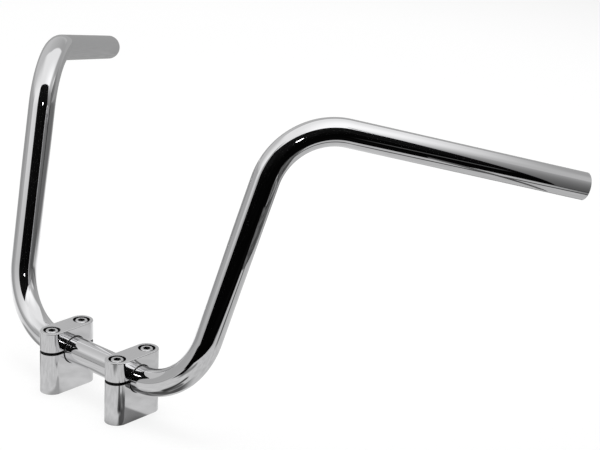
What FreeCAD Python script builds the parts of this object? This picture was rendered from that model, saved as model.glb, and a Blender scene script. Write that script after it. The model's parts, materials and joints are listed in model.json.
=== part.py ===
import FreeCAD, Part
import math
import os

from FreeCAD import Vector

# Motorcycle handlebar: a bent tube held in two risers by clamp caps and socket screws.
# Millimetres and degrees. +X points to the rider's left, +Y to the rear and +Z up.
# The origin is midway between the risers, on the plane of their undersides.

# Bar: one inch tube with two bends on each side
TUBE_D = 25.4
TUBE_WALL = 3.05
TUBE_END_CHAMFER = 0.6
LOWER_BEND_R = 68.0
UPRIGHT_STRAIGHT = 151.0
UPRIGHT_SPLAY = 8.7
UPRIGHT_LEAN = 16.0
UPPER_BEND_R = 61.0
GRIP_STRAIGHT = 229.0
GRIP_SWEEP = 54.5
GRIP_DROP = 14.0

# Clamp screws: 5/16 inch socket heads
SCREW_D = 7.94
SCREW_LENGTH = 31.75
SCREW_TIP_CHAMFER = 0.8
HEAD_D = 11.91
HEAD_H = 7.94
HEAD_BEVEL = 0.6
HEX_FLATS = 6.35
HEX_DEPTH = 3.96

# Risers and clamp caps, which share one obround outline
RISER_SPACING = 88.9
BAR_HEIGHT = 40.0
CAP_CROWN = 8.65
CAP_RIM = 3.15
SADDLE_WALL = 1.3
SADDLE_MOUTH = 0.8
SPLIT_GAP = 2.4
CAP_BEVEL = 0.8
EDGE_BREAK = 0.4
BEND_MARGIN = 1.45

# Threaded hole for a half inch bolt up into each riser
MOUNT_BOLT_D = 12.7
MOUNT_HOLE_ROOF = 4.5
DRILL_POINT_ANGLE = 118.0

# Clearances
SADDLE_CLEARANCE = 0.05
THREAD_CLEARANCE = 0.05
SHANK_CLEARANCE = 0.25
HEAD_CLEARANCE = 2.0
HEAD_RECESS = 0.3
TAP_RUNOUT = 3.0

# Worked out from the sizes above
SADDLE_R = TUBE_D / 2 + SADDLE_CLEARANCE
SHANK_HOLE_R = SCREW_D / 2 + SHANK_CLEARANCE
THREAD_HOLE_R = SCREW_D / 2 + THREAD_CLEARANCE
COUNTERBORE_R = HEAD_D / 2 + HEAD_CLEARANCE
COUNTERBORE_DEPTH = HEAD_H + HEAD_RECESS
SCREW_Y = SADDLE_R + SADDLE_WALL + SHANK_HOLE_R
RISER_HALF_WIDTH = COUNTERBORE_R + CAP_RIM
RISER_X = RISER_SPACING / 2
CAP_BOTTOM = BAR_HEIGHT + SPLIT_GAP
CAP_TOP = BAR_HEIGHT + SADDLE_R + CAP_CROWN
HEAD_SEAT = CAP_TOP - COUNTERBORE_DEPTH
THREAD_HOLE_DEPTH = BAR_HEIGHT - (HEAD_SEAT - SCREW_LENGTH) + TAP_RUNOUT
MOUNT_HOLE_TIP = BAR_HEIGHT - SADDLE_R - MOUNT_HOLE_ROOF
CENTRE_HALF = RISER_X + RISER_HALF_WIDTH + BEND_MARGIN

X = Vector(1, 0, 0)
Z = Vector(0, 0, 1)


def upright_heading():
    """Direction in which the left upright climbs."""
    splay = math.radians(UPRIGHT_SPLAY)
    lean = math.radians(UPRIGHT_LEAN)
    level = math.cos(lean)
    return Vector(math.sin(splay) * level, math.sin(lean), math.cos(splay) * level)


def grip_heading():
    """Direction in which the left grip runs out and back."""
    sweep = math.radians(GRIP_SWEEP)
    drop = math.radians(GRIP_DROP)
    level = math.cos(drop)
    return Vector(math.cos(sweep) * level, math.sin(sweep) * level, -math.sin(drop))


def tube_section(point, heading):
    """Ring-shaped face across the tube."""
    outer = Part.Wire(Part.Circle(point, heading, TUBE_D / 2).toShape())
    inner = Part.Wire(Part.Circle(point, heading, TUBE_D / 2 - TUBE_WALL).toShape())
    return Part.Face(outer).cut(Part.Face(inner)).Faces[0]


def straight_tube(point, heading, length):
    """A straight run of tube and the point where it ends."""
    run = heading * length
    return tube_section(point, heading).extrude(run), point + run


def bent_tube(point, heading, new_heading, radius):
    """A bend from one heading to the next and the point where it ends."""
    axis = heading.cross(new_heading).normalize()
    centre = point + axis.cross(heading) * radius
    turn = math.degrees(heading.getAngle(new_heading))
    end = centre - axis.cross(new_heading) * radius
    return tube_section(point, heading).revolve(centre, axis, turn), end


def half_bar():
    """Runs and bends of the bar's left half, from its middle to the grip end."""
    heading = X
    run, point = straight_tube(Vector(0, 0, BAR_HEIGHT), heading, CENTRE_HALF)
    pieces = [run]
    bends = (
        (upright_heading(), LOWER_BEND_R, UPRIGHT_STRAIGHT),
        (grip_heading(), UPPER_BEND_R, GRIP_STRAIGHT),
    )
    for new_heading, radius, length in bends:
        bend, point = bent_tube(point, heading, new_heading, radius)
        run, point = straight_tube(point, new_heading, length)
        pieces += [bend, run]
        heading = new_heading
    return pieces, point


def handlebar():
    """The whole bar as one tube, with its cut ends chamfered."""
    left, left_end = half_bar()
    right = [piece.mirror(Vector(), X) for piece in left]
    tube = left[0].multiFuse(left[1:] + right).removeSplitter().Solids[0]
    right_end = Vector(-left_end.x, left_end.y, left_end.z)
    rims = []
    for edge in tube.Edges:
        centre = edge.CenterOfMass
        if min(centre.distanceToPoint(left_end), centre.distanceToPoint(right_end)) < TUBE_WALL / 2:
            rims.append(edge)
    return tube.makeChamfer(TUBE_END_CHAMFER, rims)


def obround(bottom, top):
    """Block with two flat sides and two round ends, concentric with the screws."""
    r = RISER_HALF_WIDTH
    front_left = Vector(r, -SCREW_Y, bottom)
    front_right = Vector(-r, -SCREW_Y, bottom)
    rear_left = Vector(r, SCREW_Y, bottom)
    rear_right = Vector(-r, SCREW_Y, bottom)
    front_tip = Vector(0, -SCREW_Y - r, bottom)
    rear_tip = Vector(0, SCREW_Y + r, bottom)
    outline = Part.Wire([
        Part.LineSegment(front_left, rear_left).toShape(),
        Part.Arc(rear_left, rear_tip, rear_right).toShape(),
        Part.LineSegment(rear_right, front_right).toShape(),
        Part.Arc(front_right, front_tip, front_left).toShape(),
    ])
    return Part.Face(outline).extrude(Z * (top - bottom))


def level_edges(block, height):
    """Edges of a block that lie wholly at one height."""
    return [edge for edge in block.Edges
            if edge.BoundBox.ZLength < EDGE_BREAK / 2 and abs(edge.CenterOfMass.z - height) < EDGE_BREAK / 2]


def saddle():
    """Round cutter for the seat of the bar, wider where it leaves the flat sides."""
    reach = RISER_HALF_WIDTH * 2
    cutter = Part.makeCylinder(SADDLE_R, reach * 2, Vector(-reach, 0, BAR_HEIGHT), X)
    for outward in (-X, X):
        face = outward * RISER_HALF_WIDTH + Z * BAR_HEIGHT
        mouth = Part.makeCone(SADDLE_R + SADDLE_MOUTH, SADDLE_R, SADDLE_MOUTH, face, -outward)
        cutter = cutter.fuse(mouth)
    return cutter


def drill_point(radius):
    """Length of the cone that a drill leaves at the end of a hole."""
    return radius / math.tan(math.radians(DRILL_POINT_ANGLE / 2))


def drilled_hole(radius, depth):
    """Cutter for a blind hole down from the origin, with a drill point below its full depth."""
    wall = Part.makeCylinder(radius, depth, Vector(), -Z)
    return wall.fuse(Part.makeCone(radius, 0, drill_point(radius), Vector(0, 0, -depth), -Z))


def screw_places(height):
    """Centres of the two screws of one riser."""
    return [Vector(0, -SCREW_Y, height), Vector(0, SCREW_Y, height)]


def riser():
    """Lower half of a clamp, with two threaded holes above and one below."""
    block = obround(0, BAR_HEIGHT)
    block = block.makeChamfer(EDGE_BREAK, level_edges(block, 0) + level_edges(block, BAR_HEIGHT))
    block = block.cut(saddle())
    for place in screw_places(BAR_HEIGHT):
        block = block.cut(drilled_hole(THREAD_HOLE_R, THREAD_HOLE_DEPTH).translated(place))
    mount_hole_r = MOUNT_BOLT_D / 2
    mount_hole = drilled_hole(mount_hole_r, MOUNT_HOLE_TIP - drill_point(mount_hole_r))
    mount_hole.rotate(Vector(), X, 180)
    return block.cut(mount_hole)


def clamp_cap():
    """Upper half of a clamp, with a counterbored hole for each screw."""
    block = obround(CAP_BOTTOM, CAP_TOP)
    block = block.makeChamfer(EDGE_BREAK, level_edges(block, CAP_BOTTOM))
    block = block.makeChamfer(CAP_BEVEL, level_edges(block, CAP_TOP))
    block = block.cut(saddle())
    for place in screw_places(CAP_TOP):
        depth = CAP_TOP - CAP_BOTTOM
        block = block.cut(Part.makeCylinder(SHANK_HOLE_R, depth, place, -Z))
        counterbore = Part.makeCylinder(COUNTERBORE_R, COUNTERBORE_DEPTH, place, -Z)
        mouth = Part.makeCone(COUNTERBORE_R + EDGE_BREAK, COUNTERBORE_R, EDGE_BREAK, place, -Z)
        block = block.cut(counterbore.fuse(mouth))
    return block


def clamp_screw():
    """Socket head screw with the underside of its head on the XY plane."""
    head_r = HEAD_D / 2
    shank_r = SCREW_D / 2
    profile = [
        Vector(0, 0, HEAD_H),
        Vector(head_r - HEAD_BEVEL, 0, HEAD_H),
        Vector(head_r, 0, HEAD_H - HEAD_BEVEL),
        Vector(head_r, 0, 0),
        Vector(shank_r, 0, 0),
        Vector(shank_r, 0, SCREW_TIP_CHAMFER - SCREW_LENGTH),
        Vector(shank_r - SCREW_TIP_CHAMFER, 0, -SCREW_LENGTH),
        Vector(0, 0, -SCREW_LENGTH),
        Vector(0, 0, HEAD_H),
    ]
    body = Part.Face(Part.makePolygon(profile)).revolve(Vector(), Z, 360)
    corner_r = HEX_FLATS / 2 / math.cos(math.radians(30))
    corners = []
    for turn in range(0, 361, 60):
        angle = math.radians(turn)
        corners.append(Vector(corner_r * math.cos(angle), corner_r * math.sin(angle), HEAD_H - HEX_DEPTH))
    socket = Part.Face(Part.makePolygon(corners)).extrude(Z * HEX_DEPTH)
    flats_r = HEX_FLATS / 2
    drill = Part.makeCone(flats_r, 0, drill_point(flats_r), Vector(0, 0, HEAD_H - HEX_DEPTH), -Z)
    return body.cut(socket.fuse(drill))


def moved(shape, x):
    """A copy of a shape, shifted sideways."""
    return shape.translated(Vector(x, 0, 0))


def clamp_screws():
    """The four screws, seated in their counterbores."""
    screws = []
    for x in (-RISER_X, RISER_X):
        for place in screw_places(HEAD_SEAT):
            screws.append(moved(clamp_screw().translated(place), x))
    return Part.makeCompound(screws)


NODES = {
    "handlebar": handlebar(),
    "left_riser": moved(riser(), RISER_X),
    "right_riser": moved(riser(), -RISER_X),
    "left_clamp_cap": moved(clamp_cap(), RISER_X),
    "right_clamp_cap": moved(clamp_cap(), -RISER_X),
    "clamp_screws": clamp_screws(),
}

os.makedirs("parts", exist_ok=True)
for name, shape in NODES.items():
    shape.exportStep("parts/" + name + ".step")
    print(name, len(shape.Solids), "solids", shape.isValid(), round(shape.Volume))
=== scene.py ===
import json
import math

import bpy
from bpy.props import FloatProperty, FloatVectorProperty, IntProperty, PointerProperty
from mathutils import Matrix, Vector


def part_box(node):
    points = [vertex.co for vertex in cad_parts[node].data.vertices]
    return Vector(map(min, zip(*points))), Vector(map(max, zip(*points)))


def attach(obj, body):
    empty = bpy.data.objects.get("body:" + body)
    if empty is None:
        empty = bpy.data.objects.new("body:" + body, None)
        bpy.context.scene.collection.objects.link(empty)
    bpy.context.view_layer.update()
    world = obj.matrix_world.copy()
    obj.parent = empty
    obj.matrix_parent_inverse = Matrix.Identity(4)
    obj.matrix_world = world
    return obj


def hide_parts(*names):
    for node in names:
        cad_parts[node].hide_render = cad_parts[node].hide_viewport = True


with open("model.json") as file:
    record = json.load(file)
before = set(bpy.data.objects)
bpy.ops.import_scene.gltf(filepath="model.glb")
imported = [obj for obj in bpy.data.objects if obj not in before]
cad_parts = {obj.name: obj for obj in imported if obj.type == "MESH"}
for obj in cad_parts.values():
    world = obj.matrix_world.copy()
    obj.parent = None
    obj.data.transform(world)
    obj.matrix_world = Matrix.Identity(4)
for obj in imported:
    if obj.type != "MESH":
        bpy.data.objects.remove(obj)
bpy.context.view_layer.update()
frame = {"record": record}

bl_info = {
    "name": "Chrome handlebar",
    "version": (1, 0, 0),
    "blender": (4, 5, 0),
    "location": "View3D > Sidebar > Handlebar",
    "description": "Models a clamped motorcycle handlebar and the light tent that it is shown in",
    "category": "Object",
}

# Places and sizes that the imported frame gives, in metres
MOUNTS = {mount["name"]: mount for mount in frame["record"]["mounts"]}
GRIP_SEAT = MOUNTS["left_grip_seat"]
BAR_END_BORE = MOUNTS["left_bar_end_bore"]
BOLTS = MOUNTS["riser_bolts"]["dims"]
RISER_LOW, RISER_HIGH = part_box("left_riser")
RISER_HALF_WIDTH = (RISER_HIGH.x - RISER_LOW.x) / 2
CAP_LOW, CAP_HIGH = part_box("left_clamp_cap")

# One millimetre in metres, and the axes
MM = 0.001
X = Vector((1, 0, 0))
Y = Vector((0, 1, 0))
Z = Vector((0, 0, 1))

# Points nearer than this are merged, and places nearer than this are taken as the same, in metres
DOUBLES = 1e-6
SAME_PLACE = 1e-5

# How far a cutter stands out of its piece, and the length of a drill's point for a radius of 1
PROUD = 1 * MM
DRILL_POINT = math.tan(math.radians(31))

# Polishing grain of each plating: how fine it is along each axis, and its depth in metres
BAR_GRAIN = ((300, 300, 300), 2e-7)
CLAMP_GRAIN = ((200, 200, 1500), 1e-6)
SCREW_GRAIN = ((900, 900, 900), 1e-6)
RECESS_GRAIN = ((300, 300, 3000), 4e-6)

# How fine the haze of all platings is along each axis
HAZE_GRAIN = (22, 22, 22)

# Width of the camera's sensor in millimetres
SENSOR_WIDTH = 36

# Painted shadow lines that metal sees on the floor: both ends to the tent's right and front,
# how far the line reaches, and the share of light that is left on it
FLOOR_SHADOW_LINES = (
    ((0.04, 0.085), (0.064, 0.127), 0.015, 0.1),
    ((0.05, 0.079), (0.07, 0.096), 0.014, 0.2),
    ((-0.04, -0.003), (-0.008, 0.006), 0.012, 0.6),
    ((-0.075, -0.07), (-0.15, -0.09), 0.035, 0.45),
    ((-0.03, 0.19), (0.03, 0.215), 0.045, 0.4),
)


def length(name, description, default):
    """A size in metres that a user may change."""
    return FloatProperty(name=name, description=description, default=default, min=0, unit="LENGTH")


def angle(name, description, degrees):
    """An angle that a user may change."""
    return FloatProperty(name=name, description=description, default=math.radians(degrees), subtype="ANGLE")


def share(name, description, default):
    """A share from nothing to all."""
    return FloatProperty(name=name, description=description, default=default, min=0, max=1, subtype="FACTOR")


def light_level(name, description, default):
    """Light given off by a wall, where 1 is white."""
    return FloatProperty(name=name, description=description, default=default, min=0)


def colour(name, description, default):
    """A plain colour."""
    return FloatVectorProperty(
        name=name, description=description, default=default, min=0, max=1, subtype="COLOR")


def point(name, description, default):
    """A point in the object's own frame."""
    return FloatVectorProperty(name=name, description=description, default=default, subtype="TRANSLATION")


class BarSizes(bpy.types.PropertyGroup):
    tube_radius: length("Tube radius", "Outside of the tube", GRIP_SEAT["dims"]["r_mm"] * MM)
    bore_radius: length("Bore radius", "Inside of the tube", BAR_END_BORE["dims"]["r_mm"] * MM)
    height: length("Height", "Axis of the clamped run above the foot of the risers", RISER_HIGH.z)
    centre_half: length("Half of the clamped run", "From the middle to the first bend", 57.005 * MM)
    lower_bend: length("Lower bend", "Radius of the lower bend at the tube's axis", 68 * MM)
    upright: length("Upright", "Straight run between the two bends", 151 * MM)
    splay: angle("Splay", "Lean of the uprights away from each other", 8.7)
    lean: angle("Lean", "Lean of the uprights to the rear", 16)
    upper_bend: length("Upper bend", "Radius of the upper bend at the tube's axis", 61 * MM)
    grip: length("Grip", "Straight run to the bar end", 229 * MM)
    sweep: angle("Sweep", "Turn of the grips to the rear", 54.5)
    drop: angle("Drop", "Slope of the grips", 14)
    end_chamfer: length("End chamfer", "Bevel on both rims of a bar end", 0.6 * MM)
    sides: IntProperty(name="Sides", description="Faces around the tube", default=80, min=12)
    bend_steps: IntProperty(name="Bend steps", description="Faces along one bend", default=44, min=6)


class ClampSizes(bpy.types.PropertyGroup):
    spacing: length("Spacing", "Between the risers", BOLTS["spacing_x_mm"] * MM)
    half_width: length("Half width", "Radius of the round ends", RISER_HALF_WIDTH)
    screw_offset: length(
        "Screw offset", "From the bar's axis to each screw", RISER_HIGH.y - RISER_HALF_WIDTH)
    cap_bottom: length("Cap bottom", "Underside of the cap", CAP_LOW.z)
    cap_top: length("Cap top", "Top of the cap", CAP_HIGH.z)
    saddle_radius: length("Saddle", "Seat of the bar", 12.75 * MM)
    saddle_mouth: length("Saddle mouth", "Bevel where the seat leaves the flat sides", 0.8 * MM)
    bolt_radius: length("Bolt hole", "Threaded hole under each riser", BOLTS["hole_r_mm"] * MM)
    bolt_depth: length("Bolt hole depth", "Depth to the point of the drill", 22.75 * MM)
    thread_radius: length("Screw hole", "Threaded hole on top of a riser", 4.02 * MM)
    thread_depth: length("Screw hole depth", "Depth of the threaded hole", 21.59 * MM)
    shank_radius: length("Shank hole", "Hole through the cap", 4.22 * MM)
    counterbore_radius: length("Counterbore", "Pocket for a screw head", 7.955 * MM)
    counterbore_depth: length("Counterbore depth", "Depth of that pocket", 8.24 * MM)
    cap_bevel: length("Cap bevel", "Rounding of the cap's upper edge", 0.8 * MM)
    edge_bevel: length("Edge bevel", "Rounding of the other edges", 0.3 * MM)
    sides: IntProperty(name="Sides", description="Faces around a full circle", default=96, min=12)


class ScrewSizes(bpy.types.PropertyGroup):
    radius: length("Radius", "Outside of the thread", 3.97 * MM)
    length: length("Length", "From the head to the tip", 31.75 * MM)
    tip_chamfer: length("Tip chamfer", "Bevel at the tip", 0.8 * MM)
    head_radius: length("Head radius", "Outside of the head", 5.955 * MM)
    head_height: length("Head height", "Height of the head", 7.94 * MM)
    head_bevel: length("Head bevel", "Bevel around the top of the head", 0.6 * MM)
    knurl_depth: length("Knurl depth", "Depth of the grooves around the head", 0.16 * MM)
    hex_flats: length("Hex flats", "Across the flats of the socket", 6.35 * MM)
    hex_depth: length("Hex depth", "Depth of the socket", 3.96 * MM)
    socket_rim: length("Socket rim", "Depth to which the socket keeps the bright plating", 0.15 * MM)
    sides: IntProperty(name="Sides", description="Faces around the screw", default=72, min=12)


class ChromeFinish(bpy.types.PropertyGroup):
    bar_colour: colour("Bar", "Plating on the tube", (0.86, 0.86, 0.87))
    riser_colour: colour("Risers", "Plating on risers and caps", (0.84, 0.84, 0.85))
    screw_colour: colour("Screws", "Plating on the screws", (0.8, 0.8, 0.81))
    # Thin plating in holes and sockets, and painted gap shade in the saddles and on the split faces
    recess_and_gap_shade_colour: colour("Recesses", "Thin plating in holes and sockets", (0.1, 0.1, 0.1))
    bar_roughness: share("Bar roughness", "Roughness of the polished tube", 0.03)
    riser_roughness: share("Riser roughness", "Roughness of the polished blocks", 0.06)
    screw_roughness: share("Screw roughness", "Roughness of the screws", 0.12)
    recess_roughness: share("Recess roughness", "Roughness in holes and sockets", 0.35)


class TentSettings(bpy.types.PropertyGroup):
    camera_place: point("Camera", "Place of the camera", (1.161377, -1.059089, 0.74672))
    camera_azimuth: angle("Camera azimuth", "Turn of the camera round the object", 41.062)
    camera_elevation: angle("Camera elevation", "Camera above the horizon", 19.9)
    camera_roll: angle("Camera roll", "Tilt of the picture", 2.621)
    lens: FloatProperty(
        name="Lens", description="Focal length on a 36 mm sensor", default=111, unit="CAMERA")
    front: length("Front", "From the origin to the tent's open front", 0.275)
    opening_left: length("Opening, left", "From the tent's middle to the left edge of its opening", 0.33)
    opening_right: length("Opening, right", "From the tent's middle to the right edge of its opening", 0.59)
    opening_height: length("Opening height", "Height of the open front", 0.8)
    opening_corner: length("Opening corner", "Radius of the opening's upper corners", 0.1)
    opening_edge: length("Opening edge", "Width over which the opening's edge is soft", 0.005)
    roof_height: length("Roof height", "Height of the tent's roof", 0.8)
    reach: length("Reach", "From the tent's middle to its far ends", 2.2)
    left_low: light_level("Left, low", "Light of the front's left side at the floor", 0.42)
    left_high: light_level("Left, high", "Light of the front's left side higher up", 0.93)
    right_low: light_level("Right, low", "Light of the front's right side at the floor", 0.1)
    right_high: light_level("Right, high", "Light of the front's right side higher up", 0.36)
    lintel_height: length("Lintel height", "Where the far wall of the dark room turns bright", 6.0)
    lintel_left: light_level("Lintel, left", "Light high on the far wall to the left", 0.85)
    lintel_right: light_level("Lintel, right", "Light high on the far wall to the right", 1.1)
    rail: light_level("Rail", "Light of a rail across the opening", 0.1)
    rail_height: length("Rail height", "Height of that rail", 0.205)
    roof_front: light_level("Roof, front", "Light of the roof over the object", 0.88)
    roof_back: light_level("Roof, back", "Light of the roof behind the object", 0.38)
    roof_left: light_level("Roof, left", "Light of the roof to the left", 0.56)
    roof_lamp: light_level("Roof lamp", "Light of the roof below its lamp", 1.12)
    roof_far: light_level("Roof, far end", "Light of the roof far behind the object", 0.5)
    roof_patch: light_level("Roof patch", "Light of a bright patch far to the right", 0.85)
    back_wall: light_level("Back wall", "Light of the walls behind and to the left", 0.41)
    side_wall: light_level("Side wall", "Light of the wall to the right", 0.14)
    card_right: length("Card, right", "From the tent's middle to the dark card at the right", 0.415)
    card_front: length("Card, front", "From the tent's middle to that card's middle, to the front", 0.08)
    card_width: length("Card width", "Width of that card", 0.36)
    card_height: length("Card height", "Height of that card", 0.08)
    floor_left: light_level("Floor, left", "Floor to the left, as the metal shows it", 0.34)
    floor_right: light_level("Floor, right", "Floor to the right, as the metal shows it", 0.15)
    floor_strip: light_level("Floor strip", "Floor along the open front, as the metal shows it", 0.5)
    floor_pool: light_level("Floor pool", "Pool of light behind the object, as the metal shows it", 1.08)
    floor_edge: light_level("Floor edge", "Floor far from the object, as the camera sees it", 0.86)
    shadow: share("Shadow", "How much of the object's shadow the floor keeps", 0.2)
    top_lamp: FloatProperty(
        name="Top lamp", description="Power of the lamp over the object", default=8, min=0, unit="POWER")
    small_lamp: light_level("Small lamp", "Light of the small lamp beside the camera", 6)
    small_lamp_place: point("Small lamp's place", "Place of that lamp", (1.103, -0.763, 0.82))


def deselect():
    """Leaves nothing selected, so that the next operator acts on the new piece alone."""
    if bpy.context.object is not None and bpy.context.object.mode != "OBJECT":
        bpy.ops.object.mode_set(mode="OBJECT")
    bpy.ops.object.select_all(action="DESELECT")


def focus(piece):
    """Makes one piece the selected and active one."""
    deselect()
    piece.select_set(True)
    bpy.context.view_layer.objects.active = piece


def named(name):
    """Names the object that was just added and puts its place into its mesh."""
    piece = bpy.context.object
    piece.name = name
    piece.data.name = name
    bpy.ops.object.transform_apply(location=True, rotation=True, scale=True)
    return piece


def add_ring(name, radius, centre, heading, sides, fill="NOTHING"):
    """A circle of edges across a heading, open in edit mode with all of it selected."""
    deselect()
    turn = heading.to_track_quat("Z", "Y").to_euler()
    bpy.ops.mesh.primitive_circle_add(
        vertices=sides, radius=radius, fill_type=fill, location=centre, rotation=turn)
    piece = named(name)
    bpy.ops.object.mode_set(mode="EDIT")
    bpy.ops.mesh.select_all(action="SELECT")
    return piece


def push(step):
    """Extrudes the selected edges or faces."""
    bpy.ops.mesh.extrude_region_move(TRANSFORM_OT_translate={"value": step})


def widen(factor, centre):
    """Scales what is selected about a point."""
    bpy.ops.transform.resize(value=(factor, factor, factor), center_override=centre)


def lathe(at, axis, radius, steps):
    """Pushes a ring along an axis by steps, each to a new radius, and returns where it ends."""
    for step, new_radius in steps:
        push(axis * step)
        at = at + axis * step
        widen(new_radius / radius, at)
        radius = new_radius
    return at


def pick(piece, mode, test):
    """Selects in edit mode only the vertices, edges or faces that pass a test of their place."""
    bpy.ops.mesh.select_mode(type=mode)
    bpy.ops.mesh.select_all(action="DESELECT")
    bpy.ops.object.mode_set(mode="OBJECT")
    mesh = piece.data
    if mode == "VERT":
        for vertex in mesh.vertices:
            vertex.select = test(vertex.co)
    if mode == "EDGE":
        for edge in mesh.edges:
            edge.select = all(test(mesh.vertices[i].co) for i in edge.vertices)
    if mode == "FACE":
        for face in mesh.polygons:
            face.select = test(face.center)
    bpy.ops.object.mode_set(mode="EDIT")


def close_up():
    """Merges doubles, turns faces outwards and leaves edit mode."""
    bpy.ops.mesh.select_all(action="SELECT")
    bpy.ops.mesh.remove_doubles(threshold=DOUBLES)
    bpy.ops.mesh.normals_make_consistent(inside=False)
    bpy.ops.object.mode_set(mode="OBJECT")


def apply_modifier(piece, kind, **settings):
    """Adds one modifier with its settings and applies it."""
    focus(piece)
    modifier = piece.modifiers.new(kind.title(), kind)
    for key, value in settings.items():
        setattr(modifier, key, value)
    bpy.ops.object.modifier_apply(modifier=modifier.name)


def cut(piece, cutter):
    """Takes the shape of a cutter out of a piece and removes the cutter."""
    apply_modifier(piece, "BOOLEAN", object=cutter, operation="DIFFERENCE", solver="EXACT")
    bpy.data.objects.remove(cutter)


def smooth(piece, degrees=30):
    """Smooth shading across shallow edges only."""
    focus(piece)
    bpy.ops.object.shade_smooth_by_angle(angle=math.radians(degrees))


def copy_to(piece, name, step):
    """A copy with a mesh of its own, shifted."""
    focus(piece)
    bpy.ops.object.duplicate(linked=False)
    bpy.ops.transform.translate(value=step)
    return named(name)


def plate(piece, plating, recess_or_shade_material=None, in_recess_or_gap_shade=None):
    """Gives a piece its plating, and the faces that pass a test a dark colour: thin plating in holes and
    sockets, and painted gap shade in saddles and on split faces.
    """
    piece.data.materials.append(plating)
    if recess_or_shade_material is not None:
        piece.data.materials.append(recess_or_shade_material)
        for face in piece.data.polygons:
            face.material_index = int(in_recess_or_gap_shade(face.center, face.normal))


def hand_in(piece, node):
    """Gives a finished piece its place on the frame."""
    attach(piece, "root")
    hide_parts(node)


class Nodes:
    """Short ways to add nodes to one node tree."""

    def __init__(self, tree):
        self.nodes = tree.nodes
        self.links = tree.links

    def feed(self, socket, value):
        """Gives a socket a plain value, or the output of another node."""
        if isinstance(value, bpy.types.NodeSocket):
            self.links.new(value, socket)
        else:
            socket.default_value = value

    def place(self):
        """Place on the object, in the object's own frame."""
        return self.nodes.new("ShaderNodeTexCoord").outputs["Object"]

    def vector(self, operation, first, second):
        """One number from two vectors."""
        node = self.nodes.new("ShaderNodeVectorMath")
        node.operation = operation
        self.feed(node.inputs[0], first)
        self.feed(node.inputs[1], second)
        return node.outputs["Value"]

    def along(self, place, axis):
        """How far a place lies along an axis."""
        return self.vector("DOT_PRODUCT", place, axis)

    def distance(self, place, spot):
        """How far a place is from a spot."""
        return self.vector("DISTANCE", place, spot)

    def math(self, operation, first, second=0):
        """One number from two others, or from the first alone."""
        node = self.nodes.new("ShaderNodeMath")
        node.operation = operation
        self.feed(node.inputs[0], first)
        self.feed(node.inputs[1], second)
        return node.outputs["Value"]

    def times(self, first, *others):
        """Product of several numbers."""
        for other in others:
            first = self.math("MULTIPLY", first, other)
        return first

    def minus(self, first, second):
        """Difference of two numbers."""
        return self.math("SUBTRACT", first, second)

    def off(self, value, middle):
        """How far a value is from a middle one, to either side."""
        return self.math("ABSOLUTE", self.minus(value, middle))

    def past(self, value, start):
        """How far a value is past a start, and nothing before it."""
        return self.math("MAXIMUM", self.minus(value, start), 0)

    def dim(self, light, loss):
        """Light that is left after the loss of a share of it."""
        return self.times(light, self.minus(1, loss))

    def from_line(self, place, first, last):
        """Distance of a place from a straight line between two points."""
        run = last - first
        along = self.along(place, run / run.length)
        start = first.dot(run) / run.length
        along = self.math("MINIMUM", self.math("MAXIMUM", along, start), start + run.length)
        nearest = self.nodes.new("ShaderNodeVectorMath")
        nearest.operation = "MULTIPLY_ADD"
        self.feed(nearest.inputs[0], along)
        nearest.inputs[1].default_value = run / run.length
        nearest.inputs[2].default_value = first - run * start / run.length
        return self.distance(place, nearest.outputs["Vector"])

    def ramp(self, value, low, high, first, last):
        """Goes smoothly from a first level to a last one while a value goes from low to high."""
        node = self.nodes.new("ShaderNodeMapRange")
        node.interpolation_type = "SMOOTHSTEP"
        self.feed(node.inputs["Value"], value)
        node.inputs["From Min"].default_value = low
        node.inputs["From Max"].default_value = high
        node.inputs["To Min"].default_value = first
        node.inputs["To Max"].default_value = last
        return node.outputs["Result"]

    def mix(self, amount, first, second):
        """A level between two others."""
        node = self.nodes.new("ShaderNodeMix")
        self.feed(node.inputs["Factor"], amount)
        self.feed(node.inputs["A"], first)
        self.feed(node.inputs["B"], second)
        return node.outputs["Result"]

    def noise(self, vector, stretch, detail):
        """Cloudy noise, drawn out by a stretch along each axis."""
        mapping = self.nodes.new("ShaderNodeMapping")
        mapping.inputs["Scale"].default_value = stretch
        self.links.new(vector, mapping.inputs["Vector"])
        node = self.nodes.new("ShaderNodeTexNoise")
        node.inputs["Scale"].default_value = 1
        node.inputs["Detail"].default_value = detail
        self.links.new(mapping.outputs["Vector"], node.inputs["Vector"])
        return node.outputs["Fac"]


def new_material(name):
    """A new material, and short ways to add nodes to it."""
    material = bpy.data.materials.new(name)
    material.use_nodes = True
    return material, Nodes(material.node_tree)


def recess_plating_and_gap_shade(finish):
    """Dull thin plating with turning lines for holes and sockets, which also paints gap shade in the saddles
    and on the split faces; made once for all.
    """
    made = bpy.data.materials.get("recess_plating_and_gap_shade")
    if made is None:
        made = chrome("recess_plating_and_gap_shade", finish.recess_and_gap_shade_colour, finish.recess_roughness, RECESS_GRAIN)
    return made


def chrome(name, tint, roughness, grain):
    """Polished plating with a little haze and a fine polishing grain."""
    fineness, depth = grain
    material, sketch = new_material(name)
    shader = sketch.nodes["Principled BSDF"]
    shader.inputs["Metallic"].default_value = 1
    place = sketch.place()
    haze = sketch.noise(place, HAZE_GRAIN, 5)

    haze_tint = sketch.nodes.new("ShaderNodeMix")
    haze_tint.data_type = "RGBA"
    sketch.feed(haze_tint.inputs["Factor"], haze)
    haze_tint.inputs["A"].default_value = [part * 0.97 for part in tint] + [1]
    haze_tint.inputs["B"].default_value = [min(1, part * 1.03) for part in tint] + [1]
    sketch.feed(shader.inputs["Base Color"], haze_tint.outputs["Result"])
    sketch.feed(shader.inputs["Roughness"], sketch.ramp(haze, 0.3, 0.7, roughness * 0.7, roughness * 1.5))

    bump = sketch.nodes.new("ShaderNodeBump")
    bump.inputs["Distance"].default_value = depth
    sketch.feed(bump.inputs["Height"], sketch.noise(place, fineness, 3))
    sketch.feed(shader.inputs["Normal"], bump.outputs["Normal"])
    return material


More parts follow.
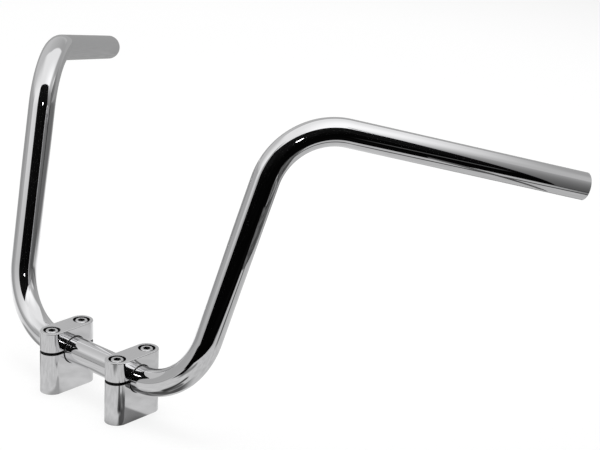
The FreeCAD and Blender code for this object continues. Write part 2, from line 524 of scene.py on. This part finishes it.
class HANDLEBAR_OT_bend_bar(bpy.types.Operator):
    """Bends the tube from its middle to one bar end, bores it and mirrors it"""
    bl_idname = "handlebar.bend_bar"
    bl_label = "Bend the bar"

    lead = 2 * MM

    def run(self, heading, distance):
        """Straight run with a short step at each end, which keeps its shading straight."""
        for step in (self.lead, distance - 2 * self.lead, self.lead):
            push(heading * step)
        self.point = self.point + heading * distance

    def bend(self, heading, new_heading, radius, steps):
        """Bend from one heading to the next."""
        axis = heading.cross(new_heading).normalized()
        centre = self.point + axis.cross(heading) * radius
        turn = heading.angle(new_heading)
        bpy.ops.mesh.spin(steps=steps, angle=-turn, center=centre, axis=axis, use_auto_merge=False)
        self.point = centre - axis.cross(new_heading) * radius

    def execute(self, context):
        size = context.scene.handlebar_bar
        level = math.cos(size.lean)
        upright = Vector((math.sin(size.splay) * level, math.sin(size.lean), math.cos(size.splay) * level))
        level = math.cos(size.drop)
        grip = Vector((math.cos(size.sweep) * level, math.sin(size.sweep) * level, -math.sin(size.drop)))

        self.point = Vector((0, 0, size.height))
        bar = add_ring("bar_tube", size.tube_radius, self.point, X, size.sides)
        self.run(X, size.centre_half)
        self.bend(X, upright, size.lower_bend, size.bend_steps)
        self.run(upright, size.upright)
        self.bend(upright, grip, size.upper_bend, size.bend_steps)
        self.run(grip, size.grip - size.end_chamfer)

        bevel = grip * size.end_chamfer
        rim = size.tube_radius - size.end_chamfer
        mouth = size.bore_radius + size.end_chamfer
        push(bevel)
        self.point = self.point + bevel
        bar_end = self.point.copy()
        widen(rim / size.tube_radius, self.point)
        push(Vector())
        widen(mouth / rim, self.point)
        push(-bevel)
        self.point = self.point - bevel
        widen(size.bore_radius / mouth, self.point)

        self.run(-grip, size.grip - size.end_chamfer)
        self.bend(-grip, -upright, size.upper_bend, size.bend_steps)
        self.run(-upright, size.upright)
        self.bend(-upright, -X, size.lower_bend, size.bend_steps)
        self.run(-X, size.centre_half)
        close_up()

        seat = Vector(GRIP_SEAT["pos_m"])
        missed = (bar_end - seat).cross(Vector(GRIP_SEAT["axis"])).length
        if missed > size.end_chamfer:
            raise RuntimeError("the bar end misses the axis of its grip seat by %.4f m" % missed)

        apply_modifier(bar, "MIRROR", use_axis=(True, False, False), merge_threshold=SAME_PLACE)
        focus(bar)
        bpy.ops.object.mode_set(mode="EDIT")
        close_up()
        smooth(bar, 40)
        finish = context.scene.handlebar_finish
        plating = chrome("bar_chrome", finish.bar_colour, finish.bar_roughness, BAR_GRAIN)
        plate(bar, plating)
        hand_in(bar, "handlebar")
        return {"FINISHED"}


def drilled_hole(name, radius, depth, mouth, down, sides, pointed=True):
    """Cutter for a hole from its mouth, which it stands a little proud of, to the point of the drill."""
    cutter = add_ring(name, radius, mouth - down * PROUD, down, sides, "NGON")
    push(down * (depth + PROUD))
    if pointed:
        push(down * radius * DRILL_POINT)
        bpy.ops.mesh.merge(type="CENTER")
    close_up()
    return cutter


def clamp_block(name, size, bottom, top):
    """Block with two flat sides and two round ends, as both halves of a clamp have."""
    deselect()
    middle = Vector((size.spacing / 2, 0, bottom))
    bpy.ops.mesh.primitive_plane_add(size=2, location=middle)
    bpy.context.object.scale = (size.half_width, size.screw_offset, 1)
    block = named(name)
    bpy.ops.object.mode_set(mode="EDIT")
    bpy.ops.mesh.select_all(action="SELECT")
    bpy.ops.mesh.delete(type="ONLY_FACE")
    for side in (1, -1):
        end = middle + Y * size.screw_offset * side
        corner = end + X * size.half_width * side
        pick(block, "EDGE", lambda co: abs(co.y - end.y) < SAME_PLACE)
        bpy.ops.mesh.delete(type="EDGE")
        pick(block, "VERT", lambda co: (co - corner).length < SAME_PLACE)
        bpy.ops.mesh.spin(steps=size.sides // 2, angle=-math.pi, center=end, axis=Z, use_auto_merge=False)
    bpy.ops.mesh.select_all(action="SELECT")
    bpy.ops.mesh.remove_doubles(threshold=DOUBLES)
    bpy.ops.mesh.edge_face_add()
    push(Z * (top - bottom))
    close_up()
    return block


def saddle_cutter(size, height):
    """Round bar that leaves the seat of the tube, wider where the seat leaves the flat sides."""
    mouth = size.saddle_mouth
    wide = size.saddle_radius + mouth
    at = Vector((size.spacing / 2 - size.half_width - mouth, 0, height))
    cutter = add_ring("saddle_cutter", wide, at, X, size.sides, "NGON")
    steps = (
        (mouth, wide),
        (mouth, size.saddle_radius),
        (2 * (size.half_width - mouth), size.saddle_radius),
        (mouth, wide),
        (mouth, wide),
    )
    lathe(at, X, wide, steps)
    close_up()
    return cutter


def finish_block(block, size):
    """Rounds the edges of a clamp half."""
    apply_modifier(block, "BEVEL", width=size.edge_bevel, segments=2, limit_method="ANGLE",
                   angle_limit=math.radians(40), use_clamp_overlap=False)
    smooth(block)
    apply_modifier(block, "WEIGHTED_NORMAL", weight=100, keep_sharp=True)


def in_saddle(co, normal, size, height):
    """Whether a face lies in the seat of the bar, and not on a flat side."""
    near_bar = math.hypot(co.y, co.z - height) < size.saddle_radius + size.saddle_mouth
    on_flat = abs(normal.x) > 0.9
    return near_bar and not on_flat


def from_screw(co, size):
    """Distance from the axis of the nearer screw of the left clamp."""
    return math.hypot(co.x - size.spacing / 2, abs(co.y) - size.screw_offset)


class HANDLEBAR_OT_mill_risers(bpy.types.Operator):
    """Mills the lower half of a clamp and copies it to the other side"""
    bl_idname = "handlebar.mill_risers"
    bl_label = "Mill the risers"

    def execute(self, context):
        size = context.scene.handlebar_clamp
        height = context.scene.handlebar_bar.height
        finish = context.scene.handlebar_finish
        plating = chrome("riser_chrome", finish.riser_colour, finish.riser_roughness, CLAMP_GRAIN)
        riser = clamp_block("left_riser_block", size, 0, height)
        middle = X * size.spacing / 2
        cut(riser, saddle_cutter(size, height))
        around = size.sides // 2
        for side in (1, -1):
            mouth = middle + Y * size.screw_offset * side + Z * height
            hole = drilled_hole("screw_hole", size.thread_radius, size.thread_depth, mouth, -Z, around)
            cut(riser, hole)
        depth = size.bolt_depth - size.bolt_radius * DRILL_POINT
        cut(riser, drilled_hole("bolt_hole", size.bolt_radius, depth, middle, Z, around))
        finish_block(riser, size)

        # Holes get thin plating; the split face on top and the saddle get the same dark colour as painted
        # gap shade
        def in_recess_or_gap_shade(co, normal):
            if co.z > height - size.edge_bevel or in_saddle(co, normal, size, height):
                return True
            in_bolt_hole = math.hypot(co.x - middle.x, co.y) < size.bolt_radius and co.z > size.edge_bevel
            return in_bolt_hole or from_screw(co, size) < size.thread_radius

        plate(riser, plating, recess_plating_and_gap_shade(finish), in_recess_or_gap_shade)
        other = copy_to(riser, "right_riser_block", -X * size.spacing)
        hand_in(riser, "left_riser")
        hand_in(other, "right_riser")
        return {"FINISHED"}


class HANDLEBAR_OT_mill_caps(bpy.types.Operator):
    """Mills the upper half of a clamp and copies it to the other side"""
    bl_idname = "handlebar.mill_caps"
    bl_label = "Mill the clamp caps"

    def execute(self, context):
        size = context.scene.handlebar_clamp
        height = context.scene.handlebar_bar.height
        finish = context.scene.handlebar_finish
        plating = chrome("cap_chrome", finish.riser_colour, finish.riser_roughness, CLAMP_GRAIN)
        cap = clamp_block("left_clamp_cap_block", size, size.cap_bottom, size.cap_top)
        focus(cap)
        bpy.ops.object.mode_set(mode="EDIT")
        pick(cap, "EDGE", lambda co: abs(co.z - size.cap_top) < SAME_PLACE)
        bpy.ops.mesh.bevel(offset=size.cap_bevel, segments=3, affect="EDGES")
        close_up()
        cut(cap, saddle_cutter(size, height))
        through = size.cap_top - size.cap_bottom + PROUD
        for side in (1, -1):
            mouth = X * size.spacing / 2 + Y * size.screw_offset * side + Z * size.cap_top
            pocket = drilled_hole("counterbore", size.counterbore_radius, size.counterbore_depth,
                                  mouth, -Z, size.sides, pointed=False)
            cut(cap, pocket)
            hole = drilled_hole("shank_hole", size.shank_radius, through,
                                mouth, -Z, size.sides // 2, pointed=False)
            cut(cap, hole)
        finish_block(cap, size)

        # Counterbores get thin plating; the split face underneath and the saddle get the same dark colour as
        # painted gap shade
        def in_recess_or_gap_shade(co, normal):
            below_rim = co.z < size.cap_top - size.edge_bevel
            in_pocket = below_rim and from_screw(co, size) < size.counterbore_radius
            in_split = co.z < size.cap_bottom + size.edge_bevel
            return in_pocket or in_split or in_saddle(co, normal, size, height)

        plate(cap, plating, recess_plating_and_gap_shade(finish), in_recess_or_gap_shade)
        other = copy_to(cap, "right_clamp_cap_block", -X * size.spacing)
        hand_in(cap, "left_clamp_cap")
        hand_in(other, "right_clamp_cap")
        return {"FINISHED"}


class HANDLEBAR_OT_turn_screws(bpy.types.Operator):
    """Turns one socket screw and copies it to all four places"""
    bl_idname = "handlebar.turn_screws"
    bl_label = "Turn the clamp screws"

    def execute(self, context):
        size = context.scene.handlebar_screw
        clamp = context.scene.handlebar_clamp
        finish = context.scene.handlebar_finish
        plating = chrome("screw_chrome", finish.screw_colour, finish.screw_roughness, SCREW_GRAIN)
        seat = Vector((clamp.spacing / 2, -clamp.screw_offset, clamp.cap_top - clamp.counterbore_depth))
        at = seat - Z * size.length
        tip = size.radius - size.tip_chamfer
        screw = add_ring("clamp_screw_left_front", tip, at, Z, size.sides, "NGON")
        steps = (
            (size.tip_chamfer, size.radius),
            (size.length - size.tip_chamfer, size.radius),
            (0, size.head_radius - size.knurl_depth),
            (size.knurl_depth, size.head_radius),
            (size.head_height - size.head_bevel - size.knurl_depth, size.head_radius),
            (size.head_bevel, size.head_radius - size.head_bevel),
        )
        at = lathe(at, Z, tip, steps)
        bpy.ops.mesh.delete(type="ONLY_FACE")
        corner = size.hex_flats / 2 / math.cos(math.radians(30))
        bpy.ops.mesh.select_all(action="DESELECT")
        bpy.ops.mesh.primitive_circle_add(vertices=6, radius=corner, location=at)
        top = at.z
        pick(screw, "EDGE", lambda co: abs(co.z - top) < SAME_PLACE)
        bpy.ops.mesh.bridge_edge_loops()
        rim = corner * 1.02
        pick(screw, "EDGE", lambda co: abs(co.z - top) < SAME_PLACE and (co - at).length < rim)
        push(-Z * size.hex_depth)
        push(-Z * size.hex_flats / 2 * DRILL_POINT)
        bpy.ops.mesh.merge(type="CENTER")
        close_up()

        focus(screw)
        bpy.ops.object.mode_set(mode="EDIT")
        low = seat.z + size.knurl_depth / 2
        high = seat.z + size.head_height - size.head_bevel / 2
        turn = 2 * math.pi / size.sides

        def groove(co):
            around = math.atan2(co.y - seat.y, co.x - seat.x) / turn
            on_side = low < co.z < high and (co - at).xy.length > size.head_radius * 0.9
            return on_side and round(around) % 2 == 0

        pick(screw, "VERT", groove)
        shrink = 1 - size.knurl_depth / size.head_radius
        bpy.ops.transform.resize(value=(shrink, shrink, 1), center_override=seat)
        close_up()
        smooth(screw, 25)

        def in_socket(co, normal):
            return seat.z < co.z < top - size.socket_rim and (co - at).xy.length < corner

        plate(screw, plating, recess_plating_and_gap_shade(finish), in_socket)
        across = -X * clamp.spacing
        back = Y * 2 * clamp.screw_offset
        copies = [screw]
        for name, step in (("left_rear", back), ("right_front", across), ("right_rear", across + back)):
            copies.append(copy_to(screw, "clamp_screw_" + name, step))
        for piece in copies:
            hand_in(piece, "clamp_screws")
        return {"FINISHED"}


class HANDLEBAR_OT_set_stage(bpy.types.Operator):
    """Puts up the floor, the light tent and the camera"""
    bl_idname = "handlebar.set_stage"
    bl_label = "Set the stage"

    def execute(self, context):
        tent = context.scene.handlebar_tent
        set_camera(context.scene, tent)
        set_walls(context.scene, tent)
        set_floor(tent)
        set_front(tent)
        set_card(tent)
        set_roof(tent)
        set_room(tent)
        set_lamps(context.scene, tent)
        context.scene.view_settings.view_transform = "Standard"
        return {"FINISHED"}


def tent_axes(tent):
    """The tent's own right and front, turned with the camera."""
    turn = tent.camera_azimuth
    return Vector((math.cos(turn), math.sin(turn), 0)), Vector((math.sin(turn), -math.cos(turn), 0))


def set_camera(scene, tent):
    """Camera at the place and angle of the picture."""
    right, front = tent_axes(tent)
    back = front * math.cos(tent.camera_elevation) + Z * math.sin(tent.camera_elevation)
    over = back.cross(right)
    roll = tent.camera_roll
    picture_right = right * math.cos(roll) + over * math.sin(roll)
    picture_up = over * math.cos(roll) - right * math.sin(roll)
    data = bpy.data.cameras.new("camera")
    data.lens = tent.lens
    data.sensor_width = SENSOR_WIDTH
    camera = bpy.data.objects.new("camera", data)
    axes = Matrix((picture_right, picture_up, back)).transposed()
    camera.matrix_world = Matrix.Translation(Vector(tent.camera_place)) @ axes.to_4x4()
    scene.collection.objects.link(camera)
    scene.camera = camera


def add_sheet(name, centre, across, along, width, height):
    """Flat sheet of the tent, of a width across and a height along."""
    deselect()
    bpy.ops.mesh.primitive_plane_add(size=1)
    axes = Matrix((across, along, across.cross(along))).transposed().to_4x4()
    bpy.context.object.matrix_world = Matrix.Translation(centre) @ axes
    bpy.context.object.scale = (width, height, 1)
    return named(name)


def metal_only(sheet):
    """A part of the tent that shows only as a reflection in metal."""
    sheet.visible_camera = False
    sheet.visible_diffuse = False
    sheet.visible_shadow = False
    sheet.visible_transmission = False


def glow(sheet):
    """Gives a sheet a material that only gives light, and returns its nodes and its strength."""
    material, sketch = new_material(sheet.name)
    sheet.data.materials.append(material)
    sketch.nodes.remove(sketch.nodes["Principled BSDF"])
    emission = sketch.nodes.new("ShaderNodeEmission")
    sketch.links.new(emission.outputs["Emission"], sketch.nodes["Material Output"].inputs["Surface"])
    return sketch, emission.inputs["Strength"]


def see_through(sketch, amount):
    """Lets a share of a glowing sheet pass what lies behind it."""
    output = sketch.nodes["Material Output"].inputs["Surface"]
    shader = output.links[0].from_socket
    clear = sketch.nodes.new("ShaderNodeBsdfTransparent")
    surface = sketch.nodes.new("ShaderNodeMixShader")
    sketch.feed(surface.inputs["Fac"], amount)
    sketch.links.new(shader, surface.inputs[1])
    sketch.links.new(clear.outputs["BSDF"], surface.inputs[2])
    sketch.links.new(surface.outputs["Shader"], output)


def set_walls(scene, tent):
    """White to the camera, and to metal the grey walls of the tent, darker to the right."""
    right, front = tent_axes(tent)
    world = bpy.data.worlds.new("tent_walls")
    scene.world = world
    world.use_nodes = True
    sketch = Nodes(world.node_tree)
    background = sketch.nodes["Background"]
    direction = sketch.nodes.new("ShaderNodeTexCoord").outputs["Generated"]
    dark_side = right * 0.93 + front * 0.36
    sideways = sketch.along(direction, dark_side)
    wall = sketch.ramp(sideways, 0.4, 1, tent.back_wall, tent.side_wall)
    path = sketch.nodes.new("ShaderNodeLightPath")
    sketch.feed(background.inputs["Strength"], sketch.mix(path.outputs["Is Glossy Ray"], 1, wall))
    background.inputs["Color"].default_value = (1, 1, 1, 1)


def set_floor(tent):
    """Pale floor that stays white to the camera but keeps a soft shadow."""
    right, front = tent_axes(tent)
    deselect()
    bpy.ops.mesh.primitive_plane_add(size=30)
    floor = named("floor")
    material, sketch = new_material("floor_paper")
    floor.data.materials.append(material)
    paper = sketch.nodes["Principled BSDF"]
    paper.inputs["Base Color"].default_value = (0.9, 0.9, 0.9, 1)
    paper.inputs["Roughness"].default_value = 0.9
    place = sketch.place()

    # Painted pool of light: white around the object, and a little greyer far from it
    off_middle = sketch.distance(place, front * -0.75)
    seen = sketch.ramp(off_middle, 0.75, 1.6, 1, tent.floor_edge)
    mirrored = mirrored_floor(sketch, tent, place, right, front)

    path = sketch.nodes.new("ShaderNodeLightPath")
    glossy = path.outputs["Is Glossy Ray"]
    shine = sketch.nodes.new("ShaderNodeEmission")
    sketch.feed(shine.inputs["Strength"], sketch.mix(glossy, seen, mirrored))
    white = sketch.math("MAXIMUM", path.outputs["Is Camera Ray"], glossy)
    white = sketch.math("MAXIMUM", white, path.outputs["Is Transmission Ray"])
    kept = sketch.mix(glossy, 1 - tent.shadow, 1)
    surface = sketch.nodes.new("ShaderNodeMixShader")
    sketch.feed(surface.inputs["Fac"], sketch.times(white, kept))
    sketch.links.new(paper.outputs["BSDF"], surface.inputs[1])
    sketch.links.new(shine.outputs["Emission"], surface.inputs[2])
    sketch.links.new(surface.outputs["Shader"], sketch.nodes["Material Output"].inputs["Surface"])


def mirrored_floor(sketch, tent, place, right, front):
    """Light of the floor as metal shows it, by distances to the tent's right and front."""
    side = sketch.along(place, right)
    near = sketch.along(place, front)

    # Pool of light behind the object, and a floor that darkens to the right
    pool = sketch.times(
        sketch.ramp(sketch.off(side, -0.12), 0.12, 0.5, 1, 0),
        sketch.ramp(near, -0.25, -0.02, 1, 0.37),
        sketch.ramp(near, -0.75, -0.55, 0, 1))
    plain = sketch.ramp(side, 0.15, 0.6, tent.floor_left, tent.floor_right)
    plain = sketch.mix(sketch.ramp(near, -1, -0.7, 1, 0), plain, tent.floor_left)
    strip = sketch.times(
        sketch.ramp(near, -0.3, -0.15, 0, 1),
        sketch.ramp(side, 0.5, 0.6, 1, 0),
        sketch.ramp(side, 0.1, 0.25, 0, 1))
    plain = sketch.mix(strip, plain, tent.floor_strip)
    light = sketch.mix(pool, plain, tent.floor_pool)

    # Painted shade on the floor towards the open front, left and right, and a painted shadow line on the
    # right
    front_shade = sketch.times(
        sketch.ramp(near, 0.17, 0.2, 0, 1),
        sketch.ramp(side, -0.08, -0.02, 1, 0),
        sketch.ramp(side, -0.3, -0.22, 0, 1))
    right_front_shade = sketch.times(sketch.ramp(near, 0.24, 0.255, 0, 1), sketch.ramp(side, 0.2, 0.3, 0, 1))
    light = sketch.dim(light, sketch.math("MAXIMUM", front_shade, right_front_shade))
    right_shadow_line = sketch.times(
        sketch.ramp(sketch.off(near, 0.128), 0.016, 0.03, 0.85, 0),
        sketch.ramp(side, 0.22, 0.29, 0, 1))
    light = sketch.dim(light, right_shadow_line)

    # Painted shadow of the nearer riser, a dark wedge that spreads from its flat side and its round end
    before = sketch.along(place, front - right * 1.12)
    beside = sketch.along(place, right * 0.886 - front * 0.464)
    forward = sketch.times(sketch.past(side, 0.06), 0.8)
    riser_shadow = sketch.math(
        "MAXIMUM",
        sketch.ramp(before, -0.029, -0.023, 0, 0.7),
        sketch.ramp(near, 0.049, 0.055, 0, 1))
    riser_shadow = sketch.times(
        riser_shadow,
        sketch.ramp(beside, -0.007, -0.002, 0, 1),
        sketch.ramp(sketch.minus(near, forward), 0.068, 0.08, 1, 0),
        sketch.ramp(side, 0.08, 0.115, 0.85, 0),
        sketch.ramp(near, 0.02, 0.03, 0, 1))
    light = sketch.dim(light, riser_shadow)

    # Painted shadow lines, and a faint mottle all over
    for first, last, width, level in FLOOR_SHADOW_LINES:
        first_end = right * first[0] + front * first[1]
        last_end = right * last[0] + front * last[1]
        off_shadow_line = sketch.from_line(place, first_end, last_end)
        light = sketch.times(light, sketch.ramp(off_shadow_line, width / 3, width, level, 1))
    mottle = sketch.noise(place, (45, 45, 1), 2)
    light = sketch.times(light, sketch.ramp(mottle, 0.3, 0.7, 0.9, 1.08))

    # Contact shade at the foot of the nearer riser
    contact = sketch.nodes.new("ShaderNodeAmbientOcclusion")
    contact.samples = 4
    contact.inputs["Distance"].default_value = 0.02
    off_foot = sketch.distance(place, right * 0.027 + front * 0.055)
    shade = sketch.mix(sketch.ramp(off_foot, 0.02, 0.04, 1, 0), 1, contact.outputs["AO"])
    return sketch.times(light, shade)


def set_front(tent):
    """The tent's front, a pale sheet with an opening for the camera."""
    right, front = tent_axes(tent)
    centre = front * tent.front + Z * tent.roof_height / 2
    sheet = add_sheet("tent_front", centre, right, Z, tent.reach * 2, tent.roof_height)
    sketch, strength = glow(sheet)
    place = sketch.place()
    side = sketch.along(place, right)
    height = sketch.along(place, Z)
    left_side = sketch.ramp(height, 0, 0.65, tent.left_low, tent.left_high)
    left_side = sketch.mix(sketch.ramp(side, -2.2, -1, 1, 0), left_side, tent.back_wall)
    right_side = sketch.ramp(height, 0, tent.roof_height, tent.right_low, tent.right_high)
    slanted = sketch.along(place, right - Z * 0.9)
    over_right = sketch.ramp(slanted, -0.1, 0.2, 0, 1)
    level = sketch.mix(over_right, left_side, right_side)

    # A faint rail across the right part of the opening
    rail = sketch.times(
        sketch.ramp(sketch.off(height, tent.rail_height), 0.005, 0.014, 1, 0),
        sketch.ramp(side, 0.34, 0.42, 0, 1),
        sketch.ramp(side, 0.52, 0.56, 1, 0))
    sketch.feed(strength, sketch.mix(rail, level, tent.rail))

    # Distance from the opening's inner frame, which its corner radius is drawn around
    corner = tent.opening_corner
    half = (tent.opening_left + tent.opening_right) / 2
    off_middle = sketch.off(side, half - tent.opening_left)
    aside = sketch.past(off_middle, half - corner)
    above = sketch.past(height, tent.opening_height - corner)
    squares = sketch.math("ADD", sketch.times(aside, aside), sketch.times(above, above))
    opening = sketch.ramp(sketch.math("SQRT", squares), corner - tent.opening_edge, corner, 1, 0)
    see_through(sketch, sketch.minus(opening, rail))
    metal_only(sheet)


def set_card(tent):
    """A low dark card that stands to the right and shows in the nearer upright."""
    right, front = tent_axes(tent)
    middle = right * tent.card_right + front * tent.card_front + Z * tent.card_height / 2
    card = add_sheet("dark_card", middle, front, Z, tent.card_width, tent.card_height)
    sketch, strength = glow(card)
    streaks = sketch.noise(sketch.place(), (8, 8, 90), 2)
    sketch.feed(strength, sketch.ramp(streaks, 0.35, 0.65, 0.04, 0.14))
    metal_only(card)


def set_roof(tent):
    """The tent's roof, brightest below its lamp and grey behind the object."""
    right, front = tent_axes(tent)
    depth = tent.reach + tent.front
    centre = front * (tent.front - depth / 2) + Z * tent.roof_height
    sheet = add_sheet("tent_roof", centre, right, front, tent.reach * 2, depth)
    sketch, strength = glow(sheet)
    place = sketch.place()
    side = sketch.along(place, right)
    near = sketch.along(place, front)

    # Grey behind the object, with an edge that slants to the right
    behind = sketch.ramp(side, -0.6, 0.6, tent.roof_left, tent.roof_back)
    behind = sketch.mix(sketch.ramp(near, -1.8, -1.2, 1, 0), behind, tent.roof_far)
    slant = sketch.times(sketch.past(side, -0.1), 0.6)
    over_object = sketch.ramp(sketch.math("ADD", near, slant), -0.42, -0.35, 0, 1)
    level = sketch.mix(over_object, behind, tent.roof_front)

    # A softer change from front to back on the left
    left = sketch.ramp(near, -0.45, 0.25, tent.roof_left, tent.roof_front)
    left = sketch.mix(sketch.ramp(side, -1.8, -1.2, 1, 0), left, tent.roof_left)
    level = sketch.mix(sketch.ramp(side, -0.45, -0.2, 1, 0), level, left)

    # The lamp, and a bright patch in the grey to the right of it
    lamp = right * 0.5 + front * 0.2 + Z * tent.roof_height
    off_lamp = sketch.distance(place, lamp)
    level = sketch.mix(sketch.ramp(off_lamp, 0.1, 0.6, 1, 0), level, tent.roof_lamp)
    aside = sketch.ramp(near, -0.45, -0.05, tent.roof_back, tent.roof_far)
    level = sketch.mix(sketch.ramp(side, 0.55, 0.85, 0, 1), level, aside)
    patch = right * 1.62 - front * 0.28 + Z * tent.roof_height
    off_patch = sketch.distance(place, patch)
    sketch.feed(strength, sketch.mix(sketch.ramp(off_patch, 0.1, 0.35, 1, 0), level, tent.roof_patch))
    metal_only(sheet)


def set_room(tent):
    """The dark room in front of the tent, a floor and a far wall that is bright high up."""
    right, front = tent_axes(tent)
    width = 12
    depth = 4
    wall_height = 14
    above_floor = 2 * MM
    middle = tent.front + depth / 2
    room = add_sheet("dark_room", front * middle + Z * above_floor, right, -front, width, depth)
    bpy.ops.object.mode_set(mode="EDIT")
    pick(room, "EDGE", lambda co: co.dot(front) > middle)
    push(Z * wall_height)
    bpy.ops.object.mode_set(mode="OBJECT")
    sketch, strength = glow(room)
    place = sketch.place()
    height = sketch.along(place, Z)
    side = sketch.along(place, right)
    clutter = sketch.noise(place, (2.5, 2.5, 0.6), 3)
    faint = sketch.times(sketch.ramp(clutter, 0.5, 0.75, 0.5, 1.5), sketch.ramp(height, 0, 3, 0.002, 0.01))
    lintel = sketch.ramp(side, -2, 1, tent.lintel_left, tent.lintel_right)
    above = sketch.ramp(height, tent.lintel_height - 0.05, tent.lintel_height + 0.05, 0, 1)
    sketch.feed(strength, sketch.mix(above, faint, lintel))
    metal_only(room)


def set_lamps(scene, tent):
    """A soft lamp over the object and a small one beside the camera."""
    front = tent_axes(tent)[1]
    data = bpy.data.lights.new("top_lamp", "AREA")
    data.shape = "DISK"
    data.size = 0.8
    data.energy = tent.top_lamp
    lamp = bpy.data.objects.new("top_lamp", data)
    lamp.location = -front * 0.1 + Z * 1.6
    lamp.visible_glossy = False
    scene.collection.objects.link(lamp)

    deselect()
    turn = (0, 0, tent.camera_azimuth)
    bpy.ops.mesh.primitive_uv_sphere_add(
        segments=24, ring_count=12, radius=1, location=tent.small_lamp_place, rotation=turn)
    half_size = (0.07, 0.035, 0.06)
    bpy.context.object.scale = half_size
    spot = named("camera_lamp")
    strength = glow(spot)[1]
    strength.default_value = tent.small_lamp
    metal_only(spot)


class HANDLEBAR_PT_panel(bpy.types.Panel):
    """Sidebar list of the pieces and the stage"""
    bl_idname = "HANDLEBAR_PT_panel"
    bl_label = "Handlebar"
    bl_space_type = "VIEW_3D"
    bl_region_type = "UI"
    bl_category = "Handlebar"

    def draw(self, context):
        for operator in OPERATORS:
            self.layout.operator(operator.bl_idname)


OPERATORS = (
    HANDLEBAR_OT_bend_bar,
    HANDLEBAR_OT_mill_risers,
    HANDLEBAR_OT_mill_caps,
    HANDLEBAR_OT_turn_screws,
    HANDLEBAR_OT_set_stage,
)
SETTINGS = {
    "handlebar_bar": BarSizes,
    "handlebar_clamp": ClampSizes,
    "handlebar_screw": ScrewSizes,
    "handlebar_finish": ChromeFinish,
    "handlebar_tent": TentSettings,
}
CLASSES = tuple(SETTINGS.values()) + OPERATORS + (HANDLEBAR_PT_panel,)


def register():
    """Makes the settings, operators and panel known to Blender."""
    for cls in CLASSES:
        bpy.utils.register_class(cls)
    for name, group in SETTINGS.items():
        setattr(bpy.types.Scene, name, PointerProperty(type=group))


def unregister():
    """Takes them all away again."""
    for name in SETTINGS:
        delattr(bpy.types.Scene, name)
    for cls in reversed(CLASSES):
        bpy.utils.unregister_class(cls)


def main():
    """Builds every piece and the stage."""
    register()
    bpy.ops.handlebar.bend_bar()
    bpy.ops.handlebar.mill_risers()
    bpy.ops.handlebar.mill_caps()
    bpy.ops.handlebar.turn_screws()
    bpy.ops.handlebar.set_stage()


if __name__ == "__main__":
    main()
